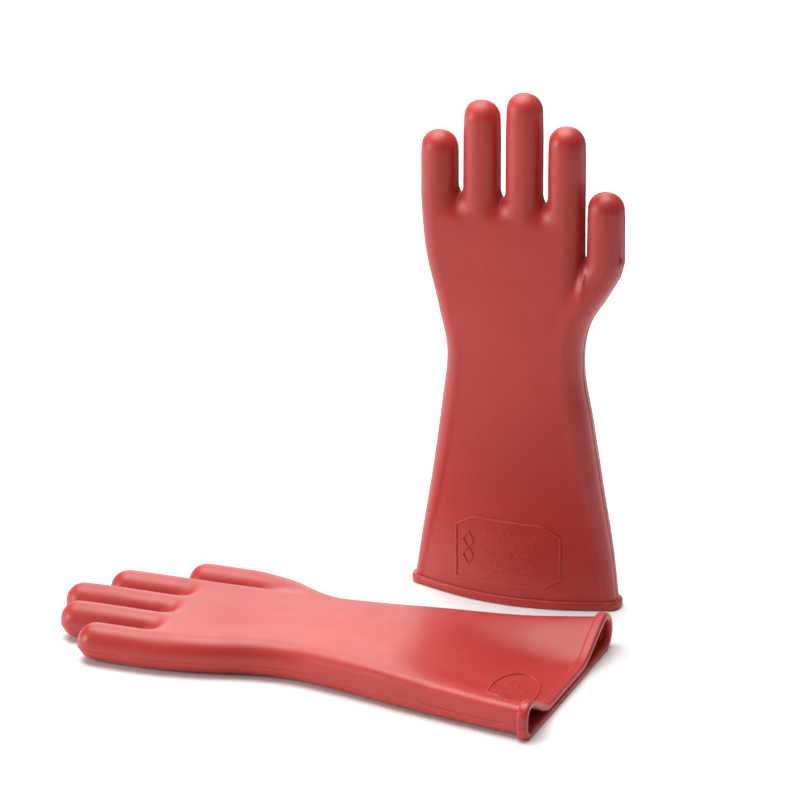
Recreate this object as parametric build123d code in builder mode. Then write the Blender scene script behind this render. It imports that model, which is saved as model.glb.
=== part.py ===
"""A pair of moulded rubber insulating gloves: the right glove lies palm up, the left one stands on its cuff.

Each glove is one hollow moulding. It is cut here where the rubber flexes, into a sleeve, a hand and two
segments for each finger, and the rolled bead and the raised marks are pieces of their own.

Frame: +Z up, -X towards the fingertips of the lying glove, +Y from the lying glove to the standing one,
origin at the middle of the pair's footprint. Millimetres.

A glove is drawn along its own length u, from the mouth of the cuff at 0 to the middle fingertip.
Across it, v points to the thumb side and w from the back of the hand to the palm.
"""

import os

from build123d import *

os.makedirs("parts", exist_ok=True)

# ---- Sizes that both gloves share ----
GLOVE_LENGTH = 380.0
WALL = 2.3
BEAD_LENGTH = 7.0  # the rolled rim, along the glove
BEAD_PROUD = 3.2  # and how far it stands out of the sleeve
BEAD_ROUNDING = 2.6
FLEX_GAP = 0.4  # between two segments that flex on each other

WEB_U = GLOVE_LENGTH - 80.0  # where the four fingers leave the hand
WRIST_U = WEB_U - 118.0  # so a longer glove has a longer sleeve
THUMB_ROOT_U = WEB_U - 36.0
FINGER_RADIUS = 13.4
PALM_THICKNESS = 2 * FINGER_RADIUS + 0.2  # the fingers lie just inside the palm's two faces
TIP_ROUNDING = 12.0
WEB_LIP = 0.8  # the bores through the web are this much tighter than the fingers' own
FLEX_SHARE = 0.55  # where a finger's middle flex lies, from its root to its tip

FINGER_GAP = 4.8  # between the sides of two fingers
MIDDLE_FINGER_V = 4.0
INDEX_TIP_U, RING_TIP_U, LITTLE_TIP_U = GLOVE_LENGTH - 21.0, GLOVE_LENGTH - 9.0, GLOVE_LENGTH - 35.0
LYING_THUMB_GAP, STANDING_THUMB_GAP = 3.0, 1.4  # from the index finger's side to the thumb's
LYING_THUMB_TIP_U, STANDING_THUMB_TIP_U = WEB_U + 11.0, WEB_U + 14.0

# Each finger's place across the hand, and its tip
FINGER_PITCH = 2 * FINGER_RADIUS + FINGER_GAP
FINGERS = {
    "index": (MIDDLE_FINGER_V + FINGER_PITCH, INDEX_TIP_U),
    "middle": (MIDDLE_FINGER_V, GLOVE_LENGTH),
    "ring": (MIDDLE_FINGER_V - FINGER_PITCH, RING_TIP_U),
    "little": (MIDDLE_FINGER_V - 2 * FINGER_PITCH, LITTLE_TIP_U),
}
HAND_LITTLE_SIDE = FINGER_RADIUS - FINGERS["little"][0]  # half widths of the hand where the fingers leave it
HAND_THUMB_SIDE = FINGER_RADIUS + FINGERS["index"][0]
LYING_THUMB_V = HAND_THUMB_SIDE + LYING_THUMB_GAP + FINGER_RADIUS
STANDING_THUMB_V = HAND_THUMB_SIDE + STANDING_THUMB_GAP + FINGER_RADIUS

# ---- The raised marks on the cuff: an eight-sided frame on its back, an oval on its palm side ----
MARK_PROUD = 0.6
MARK_LINE = 1.6
FRAME_WIDTH = 80.0
FRAME_HEIGHT = 50.0
FRAME_CORNER_ACROSS = 13.0
FRAME_CORNER_ALONG = 8.0
FRAME_CENTRE_U = 36.0
LOZENGE_WIDTH = 9.0
LOZENGE_HEIGHT = 23.0
LOZENGE_V = -29.5
DASH_ROWS = 5
DASH_ROW_PITCH = 7.6
DASH_LENGTH = 9.0
DASH_PITCH = 13.0
DASHES_IN_A_ROW = 4
DASH_CENTRE_V = 8.0
OVAL_ACROSS = 62.0
OVAL_ALONG = 34.0
OVAL_CENTRE_U = 31.0
OVAL_CENTRE_V = -30.0
OVAL_BAR_LENGTHS = (20.0, 34.0, 20.0)
OVAL_BAR_PITCH = 7.0

# ---- How the two gloves stand ----
LYING_CUFF_HALF = 87.0
STANDING_CUFF_HALF = 76.5
STANDING_CUFF_DEPTH = 42.0
GLOVE_SPACING = 155.0  # from one glove's centre line to the other's
STANDING_X = 95.0
FLOOR_SHAVE = 0.3  # rubber pressed flat where the lying glove rests

PAIR_DEPTH = LYING_CUFF_HALF + GLOVE_SPACING + STANDING_CUFF_DEPTH / 2 + 2 * BEAD_PROUD
LYING_Y = LYING_CUFF_HALF + BEAD_PROUD - PAIR_DEPTH / 2
STANDING_Y = LYING_Y + GLOVE_SPACING

# ---- Sections ----
# Each is (u, little side, thumb side, back, palm, crown, sag): the half widths to both sides, the heights
# of the back and palm faces, how far each face bulges in its middle, and how far the palm face sags there.
LYING_SLEEVE = (
    (BEAD_LENGTH, LYING_CUFF_HALF, LYING_CUFF_HALF, BEAD_PROUD, PALM_THICKNESS + 3.0, 0.0, 15.5),
    (60.0, 77.0, 77.0, 1.6, PALM_THICKNESS + 2.5, 0.0, 10.0),
    (WRIST_U - 62.0, 65.0, 65.0, 0.4, PALM_THICKNESS + 1.5, 0.0, 3.0),
    (WRIST_U, 54.5, 54.5, -FLOOR_SHAVE, PALM_THICKNESS, 0.0, 0.0),
)
LYING_HAND = (
    (WRIST_U, 54.5, 54.5, -FLOOR_SHAVE, PALM_THICKNESS, 0.0, 0.0),
    (WEB_U - 75.0, HAND_LITTLE_SIDE - 14.6, HAND_THUMB_SIDE + 5.0, -FLOOR_SHAVE, PALM_THICKNESS, 0.0, 0.0),
    (WEB_U - 38.0, HAND_LITTLE_SIDE - 5.5, HAND_THUMB_SIDE, -FLOOR_SHAVE, PALM_THICKNESS, 0.0, 0.0),
    (WEB_U, HAND_LITTLE_SIDE, HAND_THUMB_SIDE, -FLOOR_SHAVE, PALM_THICKNESS, 0.0, 0.0),
)
STANDING_SLEEVE = (
    (
        BEAD_LENGTH,
        STANDING_CUFF_HALF,
        STANDING_CUFF_HALF,
        -STANDING_CUFF_DEPTH / 2,
        STANDING_CUFF_DEPTH / 2,
        7.0,
        0.0,
    ),
    (60.0, 67.0, 68.5, -22.0, 22.0, 6.0, 0.0),
    (WRIST_U - 62.0, 58.5, 57.5, -21.0, 21.0, 5.0, 0.0),
    (WRIST_U, 52.0, 48.6, -19.0, 19.0, 3.0, 0.0),
)
STANDING_HAND = (
    (WRIST_U, 52.0, 48.6, -19.0, 19.0, 3.0, 0.0),
    (WEB_U - 75.0, HAND_LITTLE_SIDE - 11.6, HAND_THUMB_SIDE, -17.0, 17.0, 2.5, 0.0),
    (WEB_U - 38.0, HAND_LITTLE_SIDE - 3.0, HAND_THUMB_SIDE, -15.0, 15.0, 1.0, 0.0),
    (WEB_U, HAND_LITTLE_SIDE, HAND_THUMB_SIDE, -PALM_THICKNESS / 2, PALM_THICKNESS / 2, 0.0, 0.0),
)

# thumb_line: points (u, v) that the middle of the thumb passes as it leaves the hand, and thumb_tip its end
GLOVES = {
    "right": dict(
        mouth=(GLOVE_LENGTH / 2, LYING_Y, 0.0),
        along=(-1, 0, 0),
        thumbwards=(0, 1, 0),
        palm_sign=-1,
        finger_w=FINGER_RADIUS,
        sleeve=LYING_SLEEVE,
        hand=LYING_HAND,
        thumb_line=((WRIST_U + 14.0, 37.0), (WRIST_U + 46.0, 56.0), (THUMB_ROOT_U, LYING_THUMB_V)),
        thumb_tip=LYING_THUMB_TIP_U,
        on_floor=True,
    ),
    "left": dict(
        mouth=(STANDING_X, STANDING_Y, 0.0),
        along=(0, 0, 1),
        thumbwards=(1, 0, 0),
        palm_sign=1,
        finger_w=0.0,
        sleeve=STANDING_SLEEVE,
        hand=STANDING_HAND,
        thumb_line=((WRIST_U + 14.0, 30.0), (WRIST_U + 50.0, 46.0), (THUMB_ROOT_U, STANDING_THUMB_V)),
        thumb_tip=STANDING_THUMB_TIP_U,
        on_floor=False,
    ),
}


def cross_plane(glove, u):
    """The plane across a glove at length u: its x runs to the thumb side, its normal to the fingertips."""
    here = Vector(*glove["mouth"]) + Vector(*glove["along"]) * u
    return Plane(origin=here, x_dir=glove["thumbwards"], z_dir=glove["along"])


def outline(glove, section, grow=0.0, at=None):
    """A closed section across a glove, grown outwards by grow. All have the same four edges, for lofting."""
    u, little, thumb, back, palm, crown, sag = section
    sign = glove["palm_sign"]
    low, high = back - grow, palm + grow
    left, right = -(little + grow), thumb + grow
    end_radius = (high - low) / 2 - crown
    start, stop = left + end_radius, right - end_radius
    centre, middle = (start + stop) / 2, (low + high) / 2
    with BuildSketch(cross_plane(glove, u if at is None else at)) as drawn:
        with BuildLine():
            if crown:
                ThreePointArc(
                    (start, sign * (low + crown)), (centre, sign * low), (stop, sign * (low + crown))
                )
            else:
                Line((start, sign * low), (stop, sign * low))
            ThreePointArc(
                (stop, sign * (low + crown)), (right, sign * middle), (stop, sign * (high - crown))
            )
            if sag:
                Spline(
                    (stop, sign * high),
                    (centre, sign * (high - sag)),
                    (start, sign * high),
                    tangents=((-1, 0), (-1, 0)),
                )
            elif crown:
                ThreePointArc(
                    (stop, sign * (high - crown)), (centre, sign * high), (start, sign * (high - crown))
                )
            else:
                Line((stop, sign * high), (start, sign * high))
            ThreePointArc(
                (start, sign * (high - crown)), (left, sign * middle), (start, sign * (low + crown))
            )
        make_face()
    return drawn.sketch.face()


def skin(glove, sections, grow=0.0, before=0.0, after=0.0):
    """The faces that a glove's surface is lofted through, grown by grow and run on past its two ends."""
    places = [section[0] for section in sections]
    places[0] -= before
    places[-1] += after
    return [outline(glove, section, grow, u) for section, u in zip(sections, places)]


def round_section(glove, u, v, radius):
    """A circle across a glove at finger height."""
    with BuildSketch(cross_plane(glove, u)) as drawn:
        with Locations((v, glove["palm_sign"] * glove["finger_w"])):
            Circle(radius)
    return drawn.sketch.face()


def digits_of(glove):
    """Each digit's name with its place across the hand, its root and its tip."""
    root_u, thumb_v = glove["thumb_line"][-1]
    digits = {"thumb": (thumb_v, root_u, glove["thumb_tip"])}
    for name, (v, tip_u) in FINGERS.items():
        digits[name] = (v, WEB_U, tip_u)
    return digits


def flex_of(root_u, tip_u):
    """Where a finger's middle flex lies."""
    return root_u + (tip_u - root_u) * FLEX_SHARE


def save(part, name):
    """Label a finished sub-part and write it under its node's name."""
    part.label = name
    export_step(part, f"parts/{name}.step")


# ---- Sub-parts, made the same way for either glove ----


def make_sleeve(glove):
    """The long flared sleeve, an open shell from the bead to the wrist."""
    with BuildPart() as sleeve:
        loft(skin(glove, glove["sleeve"], after=-FLEX_GAP / 2))
        loft(skin(glove, glove["sleeve"], -WALL, WALL, WALL), mode=Mode.SUBTRACT)
        if glove["on_floor"]:
            split(bisect_by=Plane.XY, keep=Keep.TOP)
    return sleeve.part


def make_cuff_bead(glove):
    """The rolled bead round the mouth, which carries on the line of the sleeve inside it."""
    rim = glove["sleeve"][0]
    with BuildPart() as cuff_bead:
        extrude(outline(glove, rim, BEAD_PROUD, 0.0), amount=BEAD_LENGTH)
        fillet(cuff_bead.edges(), radius=BEAD_ROUNDING)
        extrude(outline(glove, rim, -WALL, 0.0), amount=BEAD_LENGTH, mode=Mode.SUBTRACT)
    return cuff_bead.part


def make_hand(glove):
    """The hand between wrist and fingers, with the swell that the thumb grows out of."""
    thumb_line = glove["thumb_line"]
    with BuildPart() as hand:
        loft(skin(glove, glove["hand"], before=-FLEX_GAP / 2, after=-FLEX_GAP / 2))
        loft([round_section(glove, u, v, FINGER_RADIUS) for u, v in thumb_line])
        loft(skin(glove, glove["hand"], -WALL, before=WALL, after=-WALL), mode=Mode.SUBTRACT)
        loft([round_section(glove, u, v, FINGER_RADIUS - WALL) for u, v in thumb_line], mode=Mode.SUBTRACT)
        for v, _ in FINGERS.values():
            bore = round_section(glove, WEB_U, v, FINGER_RADIUS - WALL - WEB_LIP)
            extrude(bore, amount=-2 * WALL, mode=Mode.SUBTRACT)
        if glove["on_floor"]:
            split(bisect_by=Plane.XY, keep=Keep.TOP)
        split(bisect_by=cross_plane(glove, WRIST_U + FLEX_GAP / 2), keep=Keep.TOP)
    return hand.part


def make_finger_base(glove, v, root_u, flex_u):
    """The tube from a finger's root to its middle flex."""
    with BuildPart() as finger_base:
        with BuildSketch(cross_plane(glove, root_u + FLEX_GAP / 2)):
            with Locations((v, glove["palm_sign"] * glove["finger_w"])):
                Circle(FINGER_RADIUS)
                Circle(FINGER_RADIUS - WALL, mode=Mode.SUBTRACT)
        extrude(amount=flex_u - root_u - FLEX_GAP)
    return finger_base.part


def make_finger_tip(glove, v, flex_u, tip_u):
    """The closed round end of a finger, from its middle flex."""
    start = cross_plane(glove, flex_u + FLEX_GAP / 2)
    middle = start.from_local_coords(Vector(v, glove["palm_sign"] * glove["finger_w"], 0))
    length = tip_u - flex_u - FLEX_GAP / 2
    with BuildPart() as finger_tip:
        with BuildSketch(Plane(origin=middle, x_dir=start.z_dir, z_dir=start.y_dir)):
            with BuildLine():
                Line((0, FINGER_RADIUS - WALL), (0, FINGER_RADIUS))
                Line((0, FINGER_RADIUS), (length - TIP_ROUNDING, FINGER_RADIUS))
                RadiusArc(
                    (length - TIP_ROUNDING, FINGER_RADIUS),
                    (length, FINGER_RADIUS - TIP_ROUNDING),
                    TIP_ROUNDING,
                )
                Line((length, FINGER_RADIUS - TIP_ROUNDING), (length, 0))
                Line((length, 0), (length - WALL, 0))
                Line((length - WALL, 0), (length - WALL, FINGER_RADIUS - TIP_ROUNDING))
                RadiusArc(
                    (length - WALL, FINGER_RADIUS - TIP_ROUNDING),
                    (length - TIP_ROUNDING, FINGER_RADIUS - WALL),
                    -(TIP_ROUNDING - WALL),
                )
                Line((length - TIP_ROUNDING, FINGER_RADIUS - WALL), (0, FINGER_RADIUS - WALL))
            make_face()
        revolve(axis=Axis(middle, start.z_dir))
    return finger_tip.part


def mark_plane(glove, towards_palm):
    """A plane inside a glove from its mouth on, facing its palm side or its back, its x to the thumb side."""
    across = cross_plane(glove, 0)
    palmwards = across.y_dir * glove["palm_sign"]
    origin = across.origin + palmwards * glove["finger_w"]
    return Plane(origin=origin, x_dir=glove["thumbwards"], z_dir=palmwards if towards_palm else -palmwards)


def upwards(plane, glove):
    """1 where the plane's y runs to the fingertips, -1 where it runs to the mouth."""
    return 1 if plane.y_dir.dot(Vector(*glove["along"])) > 0 else -1


def make_raised_mark(glove, drawing):
    """A mark as high as MARK_PROUD on the sleeve, wherever the drawing covers it."""
    with BuildPart() as cover:
        loft(skin(glove, glove["sleeve"], MARK_PROUD))
        loft(skin(glove, glove["sleeve"], after=-FLEX_GAP / 2), mode=Mode.SUBTRACT)
    with BuildPart() as raised_mark:
        extrude(drawing, amount=2 * PALM_THICKNESS)
        add(cover.part, mode=Mode.INTERSECT)
    return raised_mark.part


def draw_back_frame(glove):
    """The eight-sided frame with three bevelled corners, a plain lozenge and rows of short dashes."""
    plane = mark_plane(glove, towards_palm=False)
    rise = upwards(plane, glove)
    half, tall = FRAME_WIDTH / 2, FRAME_HEIGHT / 2
    bevel_across, bevel_along = FRAME_CORNER_ACROSS, FRAME_CORNER_ALONG
    corners = (
        (-half, -tall),
        (half - bevel_across, -tall),
        (half, -tall + bevel_along),
        (half, tall - bevel_along),
        (half - bevel_across, tall),
        (-half + bevel_across, tall),
        (-half, tall - bevel_along),
    )
    half_width, half_height = LOZENGE_WIDTH / 2, LOZENGE_HEIGHT / 2
    lozenge = ((0, -half_height), (half_width, 0), (0, half_height), (-half_width, 0))
    with BuildSketch(plane) as drawn:
        with Locations((0, rise * FRAME_CENTRE_U)):
            for points, place_v in ((corners, 0.0), (lozenge, LOZENGE_V)):
                with Locations((place_v, 0)):
                    ring = [(x, rise * y) for x, y in points]
                    Polygon(*ring, align=None)
                    with BuildSketch(mode=Mode.PRIVATE) as inside:
                        Polygon(*ring, align=None)
                        offset(amount=-MARK_LINE, kind=Kind.INTERSECTION)
                    add(inside.sketch, mode=Mode.SUBTRACT)
            with Locations((DASH_CENTRE_V, 0)):
                with GridLocations(DASH_PITCH, DASH_ROW_PITCH, DASHES_IN_A_ROW, DASH_ROWS):
                    Rectangle(DASH_LENGTH, MARK_LINE)
    return drawn.sketch


def draw_palm_oval(glove):
    """The oval ring with three short bars in it."""
    plane = mark_plane(glove, towards_palm=True)
    rise = upwards(plane, glove)
    with BuildSketch(plane) as drawn:
        with Locations((OVAL_CENTRE_V, rise * OVAL_CENTRE_U)):
            Ellipse(OVAL_ACROSS / 2, OVAL_ALONG / 2)
            Ellipse(OVAL_ACROSS / 2 - MARK_LINE, OVAL_ALONG / 2 - MARK_LINE, mode=Mode.SUBTRACT)
            for row, bar_length in enumerate(OVAL_BAR_LENGTHS):
                with Locations((0, (row - 1) * OVAL_BAR_PITCH)):
                    Rectangle(bar_length, MARK_LINE)
    return drawn.sketch


# ---- The pair ----

for side, glove in GLOVES.items():
    save(make_cuff_bead(glove), f"{side}_cuff_bead")
    save(make_sleeve(glove), f"{side}_sleeve")
    save(make_hand(glove), f"{side}_hand")
    for digit, (v, root_u, tip_u) in digits_of(glove).items():
        flex_u = flex_of(root_u, tip_u)
        save(make_finger_base(glove, v, root_u, flex_u), f"{side}_{digit}_base")
        save(make_finger_tip(glove, v, flex_u, tip_u), f"{side}_{digit}_tip")
    save(make_raised_mark(glove, draw_back_frame(glove)), f"{side}_back_frame_mark")
    save(make_raised_mark(glove, draw_palm_oval(glove)), f"{side}_palm_oval_mark")
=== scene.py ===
"""A pair of moulded rubber insulating gloves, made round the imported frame.

Each glove is drawn in its own frame, in millimetres: u runs from the mouth of the cuff to the fingertips,
v to the thumb side and w from the back of the hand to the palm.
"""

import math

import bmesh
import bpy
import numpy as np
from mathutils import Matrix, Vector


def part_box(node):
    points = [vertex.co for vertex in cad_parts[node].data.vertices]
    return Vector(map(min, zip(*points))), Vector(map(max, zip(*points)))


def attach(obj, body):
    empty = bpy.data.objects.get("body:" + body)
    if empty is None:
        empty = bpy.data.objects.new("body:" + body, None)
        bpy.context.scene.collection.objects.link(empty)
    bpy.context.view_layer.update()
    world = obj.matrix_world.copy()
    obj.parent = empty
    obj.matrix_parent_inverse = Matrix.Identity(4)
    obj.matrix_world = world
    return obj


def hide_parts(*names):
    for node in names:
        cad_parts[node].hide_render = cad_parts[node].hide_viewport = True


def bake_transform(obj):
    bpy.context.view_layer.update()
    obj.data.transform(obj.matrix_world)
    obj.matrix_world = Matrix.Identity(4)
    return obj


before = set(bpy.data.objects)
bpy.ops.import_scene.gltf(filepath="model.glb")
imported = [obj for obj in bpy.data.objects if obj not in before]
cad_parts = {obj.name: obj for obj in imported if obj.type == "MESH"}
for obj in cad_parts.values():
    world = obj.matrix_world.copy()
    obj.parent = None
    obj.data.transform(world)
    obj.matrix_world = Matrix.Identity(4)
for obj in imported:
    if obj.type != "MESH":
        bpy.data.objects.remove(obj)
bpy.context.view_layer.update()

import openvdb
from mathutils import Vector

bl_info = {
    "name": "Insulating Gloves",
    "version": (1, 0, 0),
    "blender": (4, 5, 0),
    "location": "View3D > Sidebar > Gloves",
    "description": "Skins, rolled rims, raised marks and rubber for a pair of insulating gloves",
    "category": "Object",
}

MM = 0.001
FINGERS = ("thumb", "index", "middle", "ring", "little")
SKIN_STEP = 1.5
RUBBER_WALL = 2.3
PARTING_WIDTH, PARTING_HEIGHT = 1.5, 0.45
MARK_WIDTH, MARK_HEIGHT, MARK_STEP = 1.7, 0.8, 1.0
STROKE = 1.1, 0.3


# ---- Curves and blends ----


def ease(x):
    """0 below 0, 1 above 1, and a smooth rise between."""
    x = np.clip(x, 0.0, 1.0)
    return x * x * (3.0 - 2.0 * x)


def through(stations, u):
    """A smooth curve through a few (u, value) stations that never swings past them."""
    x, y = np.array(stations, float).T
    step, slope = np.diff(x), np.diff(y) / np.diff(x)
    tangent = np.zeros_like(y)
    tangent[0], tangent[-1] = slope[0], slope[-1]
    same_way = slope[1:] * slope[:-1] > 0
    mean = 2.0 * slope[1:] * slope[:-1] / np.where(same_way, slope[1:] + slope[:-1], 1.0)
    tangent[1:-1] = np.where(same_way, mean, 0.0)
    u = np.clip(u, x[0], x[-1])
    i = np.clip(np.searchsorted(x, u) - 1, 0, len(step) - 1)
    t = (u - x[i]) / step[i]
    rise = 3 * t**2 - 2 * t**3
    return (
        y[i] * (1 - rise)
        + y[i + 1] * rise
        + step[i] * (tangent[i] * (t**3 - 2 * t**2 + t) + tangent[i + 1] * (t**3 - t**2))
    )


def join(a, b, width):
    """The union of two distances, rounded over the given width."""
    near = np.clip(width - np.abs(a - b), 0.0, None) / width
    return np.minimum(a, b) - near * near * width / 4.0


# ---- The two gloves ----


class Glove:
    """One glove: where it stands, its fingers, and the shape of its rubber."""

    def __init__(self, side, along, thumbwards, palmwards):
        self.side = side
        self.along = np.array(along, float)
        self.thumbwards = np.array(thumbwards, float)
        self.palmwards = np.array(palmwards, float)
        bead = self.node_box("cuff_bead")
        centre = (bead[0] + bead[1]) / 2
        if side == "right":
            self.mouth = np.array([bead[1][0], centre[1], 0.0])
        else:
            self.mouth = np.array([centre[0], centre[1], 0.0])
        start = self.mouth @ self.along
        self.fingers = {}
        for name in FINGERS:
            base, tip = self.node_box(f"{name}_base"), self.node_box(f"{name}_tip")
            middle = (base[0] + base[1]) / 2 - self.mouth
            self.fingers[name] = dict(
                v=middle @ self.thumbwards,
                w=middle @ self.palmwards,
                radius=(base[1] - base[0]) @ np.abs(self.thumbwards) / 2,
                root=self.extent(base, self.along)[0] - start,
                flex=self.extent(tip, self.along)[0] - start,
                tip=self.extent(tip, self.along)[1] - start,
            )

    def node_box(self, node):
        """A node's lowest and highest corners in millimetres."""
        return [np.array(corner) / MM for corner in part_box(f"{self.side}_{node}")]

    @staticmethod
    def extent(box, axis):
        """A box's lowest and highest place along an axis."""
        return sorted((box[0] @ axis, box[1] @ axis))

    def to_row(self, uvw):
        """Glove coordinates in millimetres to the row frame in metres."""
        axes = np.array([self.along, self.thumbwards, self.palmwards])
        return (self.mouth + np.asarray(uvw, float) @ axes) * MM


RIGHT = Glove("right", (-1, 0, 0), (0, 1, 0), (0, 0, 1))
LEFT = Glove("left", (0, 0, 1), (1, 0, 0), (0, 1, 0))

# Half widths of sleeve and hand, to the little finger's side and to the thumb's
LYING_LITTLE = (
    (0, 87), (60, 77), (100, 69.5), (150, 59), (190, 53.5),
    (213, 55.5), (251, 65.5), (285, 71.6), (300, 72.6), (330, 72.6),
)
LYING_THUMB = (
    (0, 90.5), (30, 80.5), (60, 72), (100, 64.5), (150, 56.5),
    (190, 52.5), (215, 51.5), (250, 50), (290, 49), (330, 49),
)
STANDING_LITTLE = (
    (0, 76.5), (40, 70.3), (95, 61.5), (142, 55.5), (180, 51.8),
    (215, 58.7), (259, 69.3), (290, 72.2), (300, 72.6), (330, 72.6),
)
STANDING_THUMB = (
    (0, 77), (40, 72.2), (85, 64.2), (139, 55.4),
    (178, 49), (215, 48.5), (290, 49), (330, 49),
)
# Half thickness of the standing glove at its edges, and how far its faces bulge beyond it
STANDING_EDGE = ((0, 6.5), (60, 11), (120, 14), (182, 14.5), (225, 14), (262, 13.4), (330, 13.4))
STANDING_CROWN = ((0, 17), (60, 12), (120, 7.5), (182, 4.5), (225, 3.2), (262, 1.5), (300, 0), (330, 0))
# The paths (u, v) that the middle of the thumb takes inside the hand, where it is thinner than outside
LYING_THUMB_PATH = ((186, 30), (212, 48.5), (238, 60))
STANDING_THUMB_PATH = ((190, 27), (222, 42.5), (246, 57))
# How far from the lying mouth its faces have sunk at all, and have sunk together
SETTLE_LENGTH, VALLEY_LENGTH = 150.0, 125.0
# Thickness of the lying glove: its hand, its mouth where shut, and the mouth's two open corners
HAND_THICKNESS, SHUT_LIPS, NEAR_CORNER, FAR_CORNER = 26.8, 4.8, 21.6, 25.2
# A finger's end is this share thinner than its root
FINGER_TAPER = 0.045
# A finger's rounded end is this many radii long, and its root goes this deep into the hand
BLUNTNESS, ROOT_DEPTH = 0.93, 12.0
# How much further the standing thumb stands from its hand, and what a finger's zone takes beside the finger
SLOT_WIDENING, ZONE_MARGIN = 1.2, 1.2
# How much of a bead's length the skin stops short of its far edge
BEAD_OVERLAP = 2.6
# 1 draws the bead's section as an ellipse, and 0 as a box
BEAD_SQUARENESS = 0.72


def lying_faces(g, u, v):
    """Middle height, half thickness and edge radius of the lying glove, whose mouth has sunk shut."""
    mouthness = 1.0 - ease(u / SETTLE_LENGTH)
    valley = 1.0 - ease(u / VALLEY_LENGTH)
    low = 1.8 * mouthness
    near_side = v * LYING_LITTLE[0][1] / through(g.little, u)
    far_side = v * LYING_THUMB[0][1] / through(g.thumb, u)
    open_near, open_far = ease((-38.0 - near_side) / 42.0), ease((far_side - 27.0) / 60.0)
    lips = SHUT_LIPS + (NEAR_CORNER - SHUT_LIPS) * open_near + (FAR_CORNER - SHUT_LIPS) * open_far
    thick = HAND_THICKNESS * (1.0 - mouthness) + mouthness * (23.0 + 2.2 * ease(v / 80.0))
    thick = thick * (1.0 - valley) + lips * valley
    corner = 7.0 + 5.0 * ease(v / 60.0)
    corner = corner + (HAND_THICKNESS / 2 - corner) * ease((u - 40.0) / 220.0)
    return low + thick / 2, thick / 2, corner


def standing_faces(g, u, v):
    """Middle height, half thickness and edge radius of the standing glove, whose faces bulge evenly."""
    edge, crown = through(STANDING_EDGE, u), through(STANDING_CROWN, u)
    half = (through(STANDING_LITTLE, u) + through(STANDING_THUMB, u)) / 2
    across = np.clip(np.abs(v) / half, 0.0, 1.0)
    return np.zeros_like(v), edge + crown * (1.0 - across**2) ** 1.1, edge


RIGHT.little, RIGHT.thumb, RIGHT.thumb_path = LYING_LITTLE, LYING_THUMB, LYING_THUMB_PATH
LEFT.little, LEFT.thumb, LEFT.thumb_path = STANDING_LITTLE, STANDING_THUMB, STANDING_THUMB_PATH
RIGHT.faces, LEFT.faces = lying_faces, standing_faces
RIGHT.bead_proud, LEFT.bead_proud = 3.2, 2.4
RIGHT.bead_height, LEFT.bead_height = 8.0, 6.4
RIGHT.mark_shift, LEFT.mark_shift = 0.0, 3.0
RIGHT.seam_drop, LEFT.seam_drop = 0.24, 0.0
LEFT.fingers["thumb"]["v"] += SLOT_WIDENING


def tapered(f, u):
    """A finger's radius along its length."""
    return f["radius"] * (1.0 - FINGER_TAPER * ease((u - f["flex"]) / (f["tip"] - f["flex"])))


def section(g, u, v):
    """The middle height, half thickness and edge radius of a glove's cross section where v falls."""
    u, v = np.broadcast_arrays(u, v)
    little, thumb = through(g.little, u), through(g.thumb, u)
    corner = g.faces(g, u, v)[2]
    flat = np.clip(v, -little + corner, thumb - corner)
    middle, half, corner = g.faces(g, u, flat)
    across = np.array([f["v"] for f in g.fingers.values()])
    nearest = np.abs(v[..., None] - across).argmin(-1)
    slim = np.zeros_like(half)
    for number, f in enumerate(g.fingers.values()):
        slim = np.where(nearest == number, tapered(f, u), slim)
    fade = ease((u - g.fingers["thumb"]["root"] - 4.0) / 24.0)
    fade = np.maximum(fade, (np.abs(v - g.fingers["thumb"]["v"]) < 12.0) * ease((u - 236.0) / 20.0))
    middle = middle * (1.0 - fade) + g.fingers["index"]["w"] * fade
    half = half * (1.0 - fade) + slim * fade
    corner = corner * (1.0 - fade) + slim * fade
    return middle, half, corner


def finger_outline(g, name, u, v):
    """Distance in the plane of the palm to one finger: a straight stall with a blunt end."""
    f = g.fingers[name]
    radius, cap = tapered(f, u), BLUNTNESS * f["radius"]
    beyond = np.clip(u - (f["tip"] - cap), 0.0, None) * radius / cap
    start = f["root"] if name == "thumb" else f["root"] - ROOT_DEPTH
    before = np.clip(start - u, 0.0, None)
    return np.sqrt(beyond**2 + before**2 + (v - f["v"]) ** 2) - radius


def thumb_outline(g, u, v):
    """Distance in the plane of the palm to the thumb, whose root curves out of the hand."""
    f = g.fingers["thumb"]
    whole = finger_outline(g, "thumb", u, v)
    stations = list(g.thumb_path) + [(f["root"], f["v"]), (f["root"] + ROOT_DEPTH, f["v"])]
    lengths = np.linspace(stations[0][0], stations[-1][0], 15)
    points = list(zip(lengths, through(stations, lengths)))
    for (u0, v0), (u1, v1) in zip(points, points[1:]):
        length2 = (u1 - u0) ** 2 + (v1 - v0) ** 2
        t = np.clip(((u - u0) * (u1 - u0) + (v - v0) * (v1 - v0)) / length2, 0.0, 1.0)
        gap = np.hypot(u - u0 - t * (u1 - u0), v - v0 - t * (v1 - v0))
        whole = np.minimum(whole, gap - f["radius"] * (1.0 - 0.3 * ease((234.0 - u) / 48.0)))
    return whole


def outline(g, u, v):
    """Distance in the plane of the palm to the whole glove seen from its palm side."""
    side = np.maximum(-through(g.little, u) - v, v - through(g.thumb, u))
    body = -join(-side, -(u - g.fingers["index"]["root"] + 4.5), 9.0)
    fingers = np.min([finger_outline(g, name, u, v) for name in FINGERS[1:]], axis=0)
    hand = np.maximum(join(body, fingers, 12.0), side)
    thumb, index = g.fingers["thumb"], g.fingers["index"]
    gap = thumb["v"] - index["v"] - 2 * thumb["radius"]
    width = 1.5 * gap + 10.0 * ease((thumb["root"] - 4.0 - u) / 30.0)
    return join(hand, thumb_outline(g, u, v), width)


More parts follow.
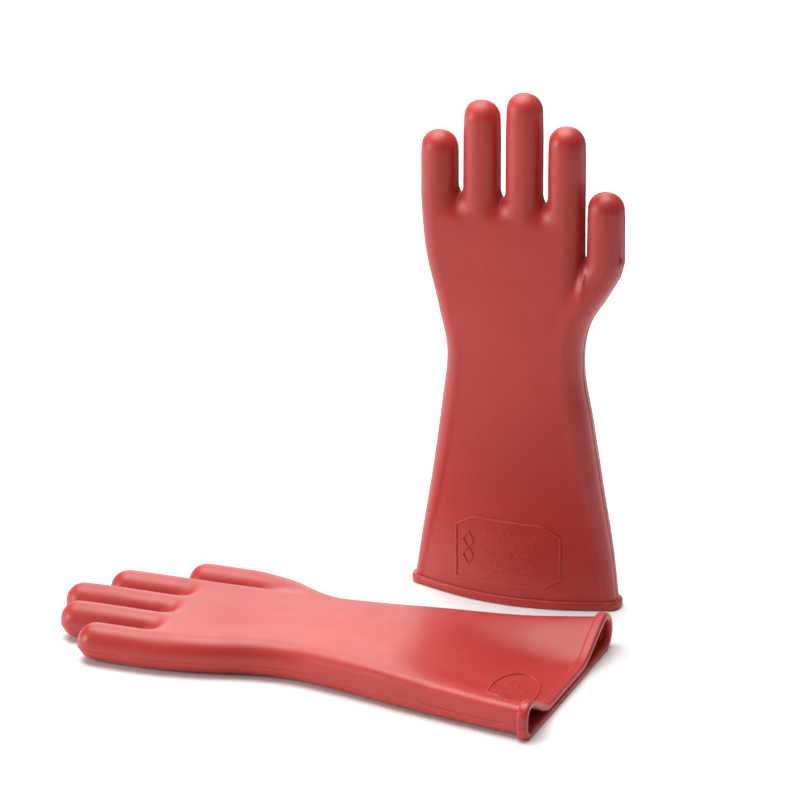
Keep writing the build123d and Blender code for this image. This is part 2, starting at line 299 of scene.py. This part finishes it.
def distance(g, p):
    """Distance from points (n, 3) in glove coordinates to the rubber's outer surface."""
    u, v, w = p.T
    middle, half, corner = section(g, u, v)
    out = np.clip(outline(g, u, v) + corner, 0.0, None)
    up = np.clip(np.abs(w - middle) - (half - corner), 0.0, None)
    return np.sqrt(out**2 + up**2) - corner


def slope(g, p, reach=0.05):
    """The distance's gradient at points (n, 3)."""
    out = np.empty_like(p)
    for axis in range(3):
        step = np.zeros(3)
        step[axis] = reach
        out[:, axis] = (distance(g, p + step) - distance(g, p - step)) / (2 * reach)
    return out


def settle(g, p, times=3):
    """Move points onto the outer surface."""
    for _ in range(times):
        n = slope(g, p)
        p = p - distance(g, p)[:, None] * n / np.maximum((n * n).sum(1), 1e-6)[:, None]
    return p


# ---- Meshes ----


def skin_mesh(g):
    """The whole outer surface of a glove as a quad bmesh in glove coordinates."""
    low = np.array([-8.0, -104.0, -34.0])
    high = np.array([g.fingers["middle"]["tip"] + 10.0, 104.0, 50.0])
    steps = [np.arange(a, b, SKIN_STEP) for a, b in zip(low, high)]
    u, v, w = np.meshgrid(*steps, indexing="ij")
    field = distance(g, np.stack([u.ravel(), v.ravel(), w.ravel()], 1)).reshape(u.shape)
    grid = openvdb.FloatGrid(50.0)
    grid.copyFromArray(field.astype(np.float32))
    points, quads = grid.convertToQuads(isovalue=0.0)
    points = settle(g, np.asarray(points, float) * SKIN_STEP + low)
    mesh = bpy.data.meshes.new("skin")
    mesh.from_pydata(points.tolist(), [], np.asarray(quads).tolist())
    skin = bmesh.new()
    skin.from_mesh(mesh)
    bpy.data.meshes.remove(mesh)
    bmesh.ops.recalc_face_normals(skin, faces=skin.faces)
    return skin


def cut(skin, faces, place, normal, clear=False):
    """Cut some of the skin's faces along a plane, taking them in a set order so that each run is the same."""
    faces = list(faces)
    geometry = dict.fromkeys(faces)
    for face in faces:
        geometry.update(dict.fromkeys(face.edges))
        geometry.update(dict.fromkeys(face.verts))
    bmesh.ops.bisect_plane(
        skin, geom=list(geometry), dist=1e-4, plane_co=place, plane_no=normal, clear_inner=clear
    )


def finger_cuts(f):
    """The two places along a finger where its skin is divided: at its root, and short of its middle flex."""
    return f["root"] + 3.0, f["flex"] - 0.16 * (f["flex"] - f["root"])


def near_finger(f, face, start):
    """Whether a face belongs to a finger beyond the given length."""
    centre = face.calc_center_median()
    return centre.x > start and abs(centre.y - f["v"]) < f["radius"] + ZONE_MARGIN


def divided_skin(g):
    """The skin, cut along the lines where its pieces meet, with the parting line raised."""
    skin = skin_mesh(g)
    cut(skin, skin.faces, (g.bead_height - BEAD_OVERLAP, 0, 0), (1, 0, 0), clear=True)
    for f in g.fingers.values():
        for place in finger_cuts(f):
            faces = [face for face in skin.faces if near_finger(f, face, f["root"] - 4)]
            cut(skin, faces, (place, 0, 0), (1, 0, 0))
    raise_parting_line(g, skin)
    return skin


def seam_height(g, points):
    """How high the parting line runs: at mid thickness, or a little lower on the lying glove."""
    middle, half, _ = section(g, *points.T[:2])
    return middle - g.seam_drop * half


def raise_parting_line(g, skin):
    """Raise the thin line that the two halves of the mould leave along a glove's edge."""
    points = np.array([vert.co for vert in skin.verts])
    middle = seam_height(g, points)
    for vert, height in zip(skin.verts, middle):
        vert.co.z -= height
    for height in (-PARTING_WIDTH / 2, -PARTING_WIDTH / 6, PARTING_WIDTH / 6, PARTING_WIDTH / 2):
        crossing = []
        for face in skin.faces:
            heights = [vert.co.z for vert in face.verts]
            if min(heights) < height < max(heights):
                crossing.append(face)
        cut(skin, crossing, (0, 0, height), (0, 0, 1))
    points = np.array([vert.co for vert in skin.verts])
    middle = seam_height(g, points)
    height = points[:, 2].copy()
    points[:, 2] += middle
    normals = unit(slope(g, points))
    lift = PARTING_HEIGHT * (np.abs(height) < PARTING_WIDTH / 5) * (np.abs(normals[:, 2]) < 0.6)
    points += lift[:, None] * normals
    for vert, point in zip(skin.verts, points):
        vert.co = point


def unit(n):
    """Vectors (n, 3) at length 1."""
    return n / np.maximum(np.linalg.norm(n, axis=1), 1e-9)[:, None]


def zone_faces(g, skin):
    """The faces of each piece of the skin: the sleeve with the hand, and two pieces for each finger."""
    zones = {"sleeve_and_hand": []}
    for name in FINGERS:
        zones[f"{name}_root"], zones[f"{name}_end"] = [], []
    for face in skin.faces:
        chosen = "sleeve_and_hand"
        for name, f in g.fingers.items():
            root_cut, flex_cut = finger_cuts(f)
            if near_finger(f, face, root_cut):
                chosen = f"{name}_end" if face.calc_center_median().x > flex_cut else f"{name}_root"
        zones[chosen].append(face)
    return zones


def shell(g, faces, name):
    """A closed rubber wall: the given outer faces, an inner copy of them, and a rim where they end."""
    index = {}
    outer_faces = []
    for face in faces:
        outer_faces.append([index.setdefault(vert, len(index)) for vert in face.verts])
    outer = np.array([vert.co for vert in index])
    normals = unit(slope(g, outer))
    count = len(outer)
    seen = {}
    for corners in outer_faces:
        for a, b in zip(corners, corners[1:] + corners[:1]):
            seen[(a, b)] = True
    rim = [(a, b) for a, b in seen if (b, a) not in seen]
    on_rim = sorted({corner for edge in rim for corner in edge})
    normals[on_rim, 0] = 0.0
    normals = unit(normals)
    inner = outer - RUBBER_WALL * normals
    inner_faces = [[corner + count for corner in reversed(corners)] for corners in outer_faces]
    rim_faces = [[b, a, a + count, b + count] for a, b in rim]
    mesh = bpy.data.meshes.new(name)
    points = g.to_row(np.vstack([outer, inner])).tolist()
    mesh.from_pydata(points, [], outer_faces + inner_faces + rim_faces)
    mesh.update()
    inner_rim = {frozenset((a + count, b + count)) for a, b in rim}
    sharp_at_rim(mesh, {frozenset(edge) for edge in rim} | inner_rim)
    return new_piece(name, mesh)


def sharp_at_rim(mesh, edges):
    """Shade a mesh smooth, but not across the given edges."""
    mesh.polygons.foreach_set("use_smooth", [True] * len(mesh.polygons))
    sharp = mesh.attributes.get("sharp_edge") or mesh.attributes.new("sharp_edge", "BOOLEAN", "EDGE")
    sharp.data.foreach_set("value", [frozenset(edge.vertices) in edges for edge in mesh.edges])


def new_piece(name, mesh):
    """An object in the scene for a finished mesh, with faces turned outwards."""
    check = bmesh.new()
    check.from_mesh(mesh)
    if check.calc_volume(signed=True) < 0:
        bmesh.ops.reverse_faces(check, faces=check.faces)
        check.to_mesh(mesh)
    check.free()
    return linked(name, mesh)


def linked(name, data):
    """An object in the scene for some data."""
    piece = bpy.data.objects.new(name, data)
    bpy.context.collection.objects.link(piece)
    return piece


def grid_mesh(rings, closed_ends=False):
    """The points and faces of a tube through rings (m, n, 3), joined end to end or with capped ends."""
    rings = np.asarray(rings)
    m, n = rings.shape[:2]
    faces = []
    for i in range(m if not closed_ends else m - 1):
        for j in range(n):
            a, b = i * n + j, i * n + (j + 1) % n
            c, d = ((i + 1) % m) * n + (j + 1) % n, ((i + 1) % m) * n + j
            faces.append([a, b, c, d])
    if closed_ends:
        faces.append(list(range(n)))
        faces.append([(m - 1) * n + j for j in reversed(range(n))])
    return rings.reshape(-1, 3), faces


# ---- The rolled bead ----


def mouth_outline(g, u, count=760):
    """Points (v, w) evenly round a cross section, and how near each is to one of its two side edges."""
    little, thumb = float(through(g.little, u)), float(through(g.thumb, u))
    corners = g.faces(g, np.full(2, float(u)), np.array([-little, thumb]))[2]
    span = np.linspace(-little + corners[0], thumb - corners[1], 400)
    middle, half, _ = g.faces(g, np.full_like(span, u), span)
    turn = np.linspace(0.0, math.pi / 2, 40)

    def rounded(end, sign_w, angles):
        radius, sign_v = corners[end], (-1, 1)[end]
        w = middle[-end] + sign_w * (half[-end] - radius)
        turned = (span[-end] + sign_v * radius * np.cos(angles), w + sign_w * radius * np.sin(angles))
        return np.stack(turned, 1)

    round_right = np.vstack([rounded(1, -1, turn[-2::-1]), rounded(1, 1, turn[:-1])])
    round_left = np.vstack([rounded(0, 1, turn[-2::-1]), rounded(0, -1, turn[:-1])])
    back, palm = np.stack([span, middle - half], 1), np.stack([span, middle + half], 1)
    loop = np.vstack([back, round_right, palm[::-1], round_left])
    steps = np.linalg.norm(np.roll(loop, -1, 0) - loop, axis=1)
    length = np.concatenate([[0.0], np.cumsum(steps)])
    at = np.linspace(0.0, length[-1], count, endpoint=False)
    closed = np.vstack([loop, loop[:1]])
    loop = np.stack([np.interp(at, length, closed[:, 0]), np.interp(at, length, closed[:, 1])], 1)
    seam = middle - g.seam_drop * half
    edges = np.array([[-little, seam[0]], [thumb, seam[-1]]])
    nearness = np.min(np.linalg.norm(loop[:, None] - edges[None], axis=2), axis=1)
    return loop, nearness


def squared(x):
    """Swells a sine or cosine so that a circle drawn with it turns into a soft square."""
    return np.sign(x) * np.abs(x) ** BEAD_SQUARENESS


def bead_mesh(g):
    """The rolled rim: a soft square band round the mouth, with the nick of the parting line across it."""
    loop, nearness = mouth_outline(g, g.bead_height / 2)
    tangent = np.roll(loop, -2, 0) - np.roll(loop, 2, 0)
    tangent /= np.linalg.norm(tangent, axis=1)[:, None]
    normal = np.stack([tangent[:, 1], -tangent[:, 0]], 1)
    turn = np.linspace(0, 2 * math.pi, 28, endpoint=False)
    half_long, half_high = g.bead_height / 2, (g.bead_proud + RUBBER_WALL) / 2
    along = half_long + half_long * squared(np.cos(turn))
    out = g.bead_proud - half_high + half_high * squared(np.sin(turn))
    nick = PARTING_HEIGHT * np.exp(-((nearness / 0.7) ** 2))
    lift = out[None] + nick[:, None] * (out > 0)[None]
    rings = np.empty((len(loop), len(turn), 3))
    rings[..., 0] = along[None]
    rings[..., 1:] = loop[:, None] + normal[:, None] * lift[..., None]
    if g is RIGHT:
        rings[..., 2] = np.maximum(rings[..., 2], 0.05)
    points, faces = grid_mesh(rings)
    mesh = bpy.data.meshes.new("bead")
    mesh.from_pydata(g.to_row(points).tolist(), [], faces)
    mesh.update()
    mesh.polygons.foreach_set("use_smooth", [True] * len(mesh.polygons))
    return mesh


# ---- The raised marks ----


def raised_line(g, path, side, closed, width=MARK_WIDTH, height=MARK_HEIGHT):
    """Points and faces of a raised line along (u, v) points on a glove's palm side (1) or back (-1)."""
    path = np.array(path, float)
    ends = np.vstack([path, path[:1]]) if closed else path
    pieces = []
    for a, b in zip(ends, ends[1:]):
        count = max(1, int(np.linalg.norm(b - a) / MARK_STEP))
        pieces.append(a + (b - a) * np.linspace(0, 1, count, endpoint=False)[:, None])
    line = np.vstack(pieces if closed else pieces + [ends[-1:]])
    middle, half, _ = section(g, line[:, 0], line[:, 1])
    points = settle(g, np.column_stack([line, middle + side * half]))
    normals = unit(slope(g, points))
    if closed:
        tangent = unit(np.roll(points, -1, 0) - np.roll(points, 1, 0))
    else:
        tangent = unit(np.gradient(points, axis=0))
    across = unit(np.cross(tangent, normals))
    profile = ((-0.5, -0.5), (-0.42, 0.35), (-0.2, 0.9), (0.2, 0.9), (0.42, 0.35), (0.5, -0.5))
    rings = np.stack([points + across * (x * width) + normals * (y * height) for x, y in profile], 1)
    return grid_mesh(rings, closed_ends=not closed)


def mark_piece(g, name, lines):
    """One object of many raised lines."""
    points, faces = [], []
    for line_points, line_faces in lines:
        start = sum(len(p) for p in points)
        points.append(g.to_row(line_points))
        faces += [[corner + start for corner in face] for face in line_faces]
    mesh = bpy.data.meshes.new(name)
    mesh.from_pydata(np.vstack(points).tolist(), [], faces)
    mesh.update()
    work = bmesh.new()
    work.from_mesh(mesh)
    bmesh.ops.recalc_face_normals(work, faces=work.faces)
    work.to_mesh(mesh)
    work.free()
    mesh.polygons.foreach_set("use_smooth", [True] * len(mesh.polygons))
    return linked(name, mesh)


def box_on_sleeve(g, node):
    """The middle (u, v) and the size along and across of a mark's node, in glove coordinates."""
    low, high = (np.array(corner) / MM - g.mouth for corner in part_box(f"{g.side}_{node}"))
    u = sorted((low @ g.along, high @ g.along))
    v = sorted((low @ g.thumbwards, high @ g.thumbwards))
    return (u[0] + u[1]) / 2 + g.mark_shift, (v[0] + v[1]) / 2, u[1] - u[0], v[1] - v[0]


def back_frame_lines(g):
    """The eight-sided frame with one square corner, a double lozenge and rows of short strokes."""
    u0, v0, tall, wide = box_on_sleeve(g, "back_frame_mark")
    a, b = tall / 2 - MARK_WIDTH / 2, wide / 2 - MARK_WIDTH / 2
    bevel_u, bevel_v = 8.0, 13.0
    corners = [
        (-a, -b), (-a, b - bevel_v), (-a + bevel_u, b), (a - bevel_u, b),
        (a, b - bevel_v), (a, -b + bevel_v), (a - bevel_u, -b),
    ]
    lines = [raised_line(g, [(u0 + x, v0 + y) for x, y in corners], -1, True)]
    high, broad = 6.5, 4.2
    for middle in (6.0, -6.0):
        ring = [(middle - high, 0), (middle, broad), (middle + high, 0), (middle, -broad)]
        lines.append(raised_line(g, [(u0 + x, v0 - 29.5 + y) for x, y in ring], -1, True, 1.2))
    for row in range(5):
        u = u0 + (2 - row) * 7.6
        v = v0 - 18.0 + 3.0 * (row % 2)
        for stroke in range(7):
            long = (3.2, 5.0, 2.6, 4.2)[(row + stroke) % 4]
            lines.append(raised_line(g, [(u, v), (u, v + long)], -1, False, *STROKE))
            v += long + 2.6
    return lines


def palm_oval_lines(g):
    """The oval ring with short strokes inside it."""
    u0, v0, tall, wide = box_on_sleeve(g, "palm_oval_mark")
    turn = np.linspace(0, 2 * math.pi, 72, endpoint=False)
    a, b = (tall - MARK_WIDTH) / 2, (wide - MARK_WIDTH) / 2
    oval = np.column_stack([u0 + a * np.sin(turn), v0 + b * np.cos(turn)])
    lines = [raised_line(g, oval, 1, True)]
    for row, strokes in ((-1, 4), (0, 6), (1, 4)):
        u, v = u0 + row * 6.4, v0 - strokes * 3.6 + 1.2
        for stroke in range(strokes):
            long = (3.4, 4.6, 2.8)[(row + stroke) % 3]
            lines.append(raised_line(g, [(u, v), (u, v + long)], 1, False, *STROKE))
            v += 7.2
    return lines


# ---- Rubber ----


def rubber(name, colour, roughness):
    """Satin rubber: faint clouds and specks in the colour, a fine grain, and patches of duller skin."""
    material = bpy.data.materials.new(name)
    material.use_nodes = True
    nodes, links = material.node_tree.nodes, material.node_tree.links
    nodes.clear()
    out = nodes.new("ShaderNodeOutputMaterial")
    shader = nodes.new("ShaderNodeBsdfPrincipled")
    links.new(shader.outputs["BSDF"], out.inputs["Surface"])
    place = nodes.new("ShaderNodeTexCoord").outputs["Object"]

    def noise(scale, detail, rough=0.5):
        node = nodes.new("ShaderNodeTexNoise")
        node.inputs["Scale"].default_value = scale
        node.inputs["Detail"].default_value = detail
        node.inputs["Roughness"].default_value = rough
        links.new(place, node.inputs["Vector"])
        return node.outputs["Fac"]

    def spread(value, low, high, to_low, to_high):
        node = nodes.new("ShaderNodeMapRange")
        sockets = ("From Min", "From Max", "To Min", "To Max")
        for socket, number in zip(sockets, (low, high, to_low, to_high)):
            node.inputs[socket].default_value = number
        links.new(value, node.inputs["Value"])
        return node.outputs["Result"]

    def mix(fac, a, b):
        node = nodes.new("ShaderNodeMix")
        node.data_type = "RGBA"
        links.new(fac, node.inputs[0])
        for socket, value in ((node.inputs[6], a), (node.inputs[7], b)):
            if isinstance(value, bpy.types.NodeSocket):
                links.new(value, socket)
            else:
                socket.default_value = (*value, 1.0)
        return node.outputs[2]

    def bump(height, strength, depth):
        node = nodes.new("ShaderNodeBump")
        node.inputs["Strength"].default_value = strength
        node.inputs["Distance"].default_value = depth
        links.new(height, node.inputs["Height"])
        return node

    def shade(k, lift=0.0):
        return tuple(min(1.0, c * k + lift) for c in colour)

    clouds = mix(spread(noise(9.0, 3.0), 0.35, 0.65, 0.0, 1.0), shade(0.9), shade(1.08, 0.004))
    specks = mix(spread(noise(420.0, 2.0), 0.66, 0.74, 0.0, 0.35), clouds, shade(0.62))
    bloom = mix(spread(noise(38.0, 5.0, 0.6), 0.58, 0.78, 0.0, 0.22), specks, shade(1.25, 0.03))
    links.new(bloom, shader.inputs["Base Color"])
    dull = spread(noise(26.0, 4.0), 0.3, 0.7, roughness - 0.05, roughness + 0.07)
    links.new(dull, shader.inputs["Roughness"])
    grain = bump(noise(900.0, 3.0), 0.22, 0.0002)
    waves = bump(noise(34.0, 2.0), 0.35, 0.0016)
    links.new(grain.outputs["Normal"], waves.inputs["Normal"])
    links.new(waves.outputs["Normal"], shader.inputs["Normal"])
    for socket, value in (
        ("Specular IOR Level", 0.5), ("Coat Weight", 0.08), ("Coat Roughness", 0.5),
        ("Subsurface Weight", 0.12), ("Subsurface Radius", (1.0, 0.3, 0.2)), ("Subsurface Scale", 0.004),
        ("Sheen Weight", 0.08), ("Sheen Roughness", 0.5),
    ):
        shader.inputs[socket].default_value = value
    return material


def floor_paint(colour):
    """Matt pale paint with a barely seen mottle."""
    material = bpy.data.materials.new("pale_floor")
    material.use_nodes = True
    nodes, links = material.node_tree.nodes, material.node_tree.links
    shader = nodes["Principled BSDF"]
    noise = nodes.new("ShaderNodeTexNoise")
    noise.inputs["Scale"].default_value = 6.0
    mix = nodes.new("ShaderNodeMix")
    mix.data_type = "RGBA"
    mix.inputs[6].default_value = (*colour, 1.0)
    mix.inputs[7].default_value = (*[c * 0.992 for c in colour], 1.0)
    links.new(noise.outputs["Fac"], mix.inputs[0])
    links.new(mix.outputs[2], shader.inputs["Base Color"])
    shader.inputs["Roughness"].default_value = 0.9
    shader.inputs["Specular IOR Level"].default_value = 0.1
    return material


# ---- Pieces on their bodies ----


def add_skin(g, material):
    """Add a glove's skin in pieces, divided at the root of each finger and short of its middle flex, and hide
    the parts they stand for.
    """
    skin = divided_skin(g)
    zones = zone_faces(g, skin)
    side = g.side
    made = {name: shell(g, faces, f"{side}_{name}_skin") for name, faces in zones.items()}
    skin.free()
    for piece in made.values():
        piece.data.materials.append(material)
    wrist = g.extent(g.node_box("hand"), g.along)[0] - g.mouth @ g.along
    whole = made["sleeve_and_hand"]
    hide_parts(f"{side}_sleeve", f"{side}_hand")
    start, end = g.to_row((wrist - 24.0, 0, 0)), g.to_row((wrist + 24.0, 0, 0))
    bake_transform(whole)
    for name, f in g.fingers.items():
        root_cut, flex_cut = finger_cuts(f)
        root, end_piece = made[f"{name}_root"], made[f"{name}_end"]
        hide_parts(f"{side}_{name}_base")
        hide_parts(f"{side}_{name}_tip")
        tuple(g.to_row((root_cut + 1.0, 0, 0)))
        tuple(g.to_row((flex_cut - 1.0, 0, 0)))
        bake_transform(root)
        last = f["flex"] + 0.55 * (f["tip"] - f["flex"])
        tuple(g.to_row((flex_cut + 1.0, 0, 0)))
        tuple(g.to_row((last, 0, 0)))
        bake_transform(end_piece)


def add_bead(g, material):
    """Add the rolled rim of a glove's cuff."""
    bead = linked(f"{g.side}_rolled_bead", bead_mesh(g))
    bead.data.materials.append(material)
    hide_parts(f"{g.side}_cuff_bead")
    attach(bead, f"{g.side}_sleeve")


def add_marks(g, material):
    """Add the raised frame on the back of a glove's cuff and the raised oval on its palm side."""
    for name, node, lines in (
        ("back_frame", "back_frame_mark", back_frame_lines(g)),
        ("palm_oval", "palm_oval_mark", palm_oval_lines(g)),
    ):
        piece = mark_piece(g, f"{g.side}_{name}_lines", lines)
        piece.data.materials.append(material)
        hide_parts(f"{g.side}_{node}")
        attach(piece, f"{g.side}_sleeve")


# ---- The add-on ----


class GloveRubberSettings(bpy.types.PropertyGroup):
    """Colours and sizes of the gloves' rubber."""

    rubber_colour: bpy.props.FloatVectorProperty(
        name="Rubber colour", description="Colour of the moulded rubber",
        default=(0.44, 0.019, 0.015), size=3, min=0.0, max=1.0, subtype="COLOR",
    )
    roughness: bpy.props.FloatProperty(
        name="Roughness", description="How matt the rubber is",
        default=0.42, min=0.0, max=1.0, subtype="FACTOR",
    )


class GloveStageSettings(bpy.types.PropertyGroup):
    """The floor, lamps and camera round the gloves."""

    floor_colour: bpy.props.FloatVectorProperty(
        name="Floor colour", description="Colour of the pale floor",
        default=(0.92, 0.92, 0.92), size=3, min=0.0, max=1.0, subtype="COLOR",
    )
    floor_size: bpy.props.FloatProperty(
        name="Floor size", description="Width of the floor", default=30.0, min=1.0, unit="LENGTH"
    )
    aim: bpy.props.FloatVectorProperty(
        name="Aim", description="Point that the camera looks at",
        default=(0.0418, 0.0142, 0.1774), size=3, subtype="TRANSLATION", unit="LENGTH",
    )
    azimuth: bpy.props.FloatProperty(
        name="Azimuth", description="Direction that the camera looks from",
        default=math.radians(20.55), unit="ROTATION",
    )
    elevation: bpy.props.FloatProperty(
        name="Elevation", description="How far the camera looks down",
        default=math.radians(22.06), unit="ROTATION",
    )
    distance: bpy.props.FloatProperty(
        name="Distance", description="From the camera to its aim", default=5.6, min=0.1, unit="LENGTH"
    )
    lens: bpy.props.FloatProperty(
        name="Lens", description="Focal length of the camera", default=360.0, min=1.0, unit="CAMERA"
    )


def rubber_of(context):
    """The shared rubber, made once."""
    settings = context.scene.glove_rubber
    return bpy.data.materials.get("satin_rubber") or rubber(
        "satin_rubber", tuple(settings.rubber_colour), settings.roughness
    )


class GLOVES_OT_lying_glove(bpy.types.Operator):
    """Make the skin of the lying right glove"""

    bl_idname = "gloves.lying_glove"
    bl_label = "Lying Glove"

    def execute(self, context):
        add_skin(RIGHT, rubber_of(context))
        return {"FINISHED"}


class GLOVES_OT_standing_glove(bpy.types.Operator):
    """Make the skin of the standing left glove"""

    bl_idname = "gloves.standing_glove"
    bl_label = "Standing Glove"

    def execute(self, context):
        add_skin(LEFT, rubber_of(context))
        return {"FINISHED"}


class GLOVES_OT_rolled_beads(bpy.types.Operator):
    """Make the rolled beads round both mouths"""

    bl_idname = "gloves.rolled_beads"
    bl_label = "Rolled Beads"

    def execute(self, context):
        add_bead(RIGHT, rubber_of(context))
        add_bead(LEFT, rubber_of(context))
        return {"FINISHED"}


class GLOVES_OT_raised_marks(bpy.types.Operator):
    """Make the raised frame and oval on both cuffs"""

    bl_idname = "gloves.raised_marks"
    bl_label = "Raised Marks"

    def execute(self, context):
        for g in (RIGHT, LEFT):
            add_marks(g, rubber_of(context))
        return {"FINISHED"}


def area_lamp(name, place, aim, size, power):
    """A soft square lamp that points at aim."""
    light = bpy.data.lights.new(name, "AREA")
    light.shape, light.size, light.energy = "SQUARE", size, power
    lamp = linked(name, light)
    lamp.location = place
    lamp.rotation_euler = (Vector(aim) - Vector(place)).to_track_quat("-Z", "Y").to_euler()


class GLOVES_OT_stage(bpy.types.Operator):
    """Make the floor, the lamps and the camera"""

    bl_idname = "gloves.stage"
    bl_label = "Stage"

    def execute(self, context):
        scene, stage = context.scene, context.scene.glove_stage
        half = stage.floor_size / 2
        mesh = bpy.data.meshes.new("floor")
        corners = [(-half, -half, 0), (half, -half, 0), (half, half, 0), (-half, half, 0)]
        mesh.from_pydata(corners, [], [(0, 1, 2, 3)])
        floor = linked("floor", mesh)
        floor.data.materials.append(floor_paint(tuple(stage.floor_colour)))

        world = bpy.data.worlds.new("pale_room")
        world.use_nodes = True
        world.node_tree.nodes["Background"].inputs["Color"].default_value = (1.0, 1.0, 1.0, 1.0)
        world.node_tree.nodes["Background"].inputs["Strength"].default_value = 0.21
        scene.world = world
        scene.view_settings.view_transform = "Standard"

        area_lamp("lamp_above", (-0.5, 0.45, 2.4), (0.0, 0.0, 0.0), 2.2, 98.0)
        area_lamp("lamp_left", (-2.3, -1.3, 0.75), (0.0, 0.05, 0.15), 1.0, 38.0)
        area_lamp("lamp_behind", (-1.05, 2.6, 1.15), (-0.05, 0.0, 0.0), 2.0, 27.0)

        data = bpy.data.cameras.new("camera")
        data.lens, data.sensor_width = stage.lens, 36.0
        data.clip_start, data.clip_end = 0.1, 60.0
        camera = linked("camera", data)
        away = Vector((
            math.sin(stage.azimuth) * math.cos(stage.elevation),
            -math.cos(stage.azimuth) * math.cos(stage.elevation),
            math.sin(stage.elevation),
        ))
        camera.location = Vector(stage.aim) + away * stage.distance
        camera.rotation_euler = (-away).to_track_quat("-Z", "Y").to_euler()
        scene.camera = camera
        return {"FINISHED"}


OPERATORS = (
    GLOVES_OT_stage,
    GLOVES_OT_lying_glove,
    GLOVES_OT_standing_glove,
    GLOVES_OT_rolled_beads,
    GLOVES_OT_raised_marks,
)


class GLOVES_PT_panel(bpy.types.Panel):
    """Lists what the gloves are made of"""

    bl_idname = "GLOVES_PT_panel"
    bl_label = "Insulating Gloves"
    bl_space_type = "VIEW_3D"
    bl_region_type = "UI"
    bl_category = "Gloves"

    def draw(self, context):
        layout = self.layout
        for settings in (context.scene.glove_rubber, context.scene.glove_stage):
            for name in settings.__annotations__:
                layout.prop(settings, name)
        for operator in OPERATORS:
            layout.operator(operator.bl_idname)


CLASSES = (GloveRubberSettings, GloveStageSettings, *OPERATORS, GLOVES_PT_panel)


def register():
    """Make the classes and their settings known to Blender."""
    for cls in CLASSES:
        bpy.utils.register_class(cls)
    bpy.types.Scene.glove_rubber = bpy.props.PointerProperty(type=GloveRubberSettings)
    bpy.types.Scene.glove_stage = bpy.props.PointerProperty(type=GloveStageSettings)


def unregister():
    """Take the classes and their settings out again."""
    del bpy.types.Scene.glove_stage
    del bpy.types.Scene.glove_rubber
    for cls in reversed(CLASSES):
        bpy.utils.unregister_class(cls)


def main():
    """Build every piece."""
    register()
    bpy.ops.gloves.stage()
    bpy.ops.gloves.lying_glove()
    bpy.ops.gloves.standing_glove()
    bpy.ops.gloves.rolled_beads()
    bpy.ops.gloves.raised_marks()


if __name__ == "__main__":
    main()
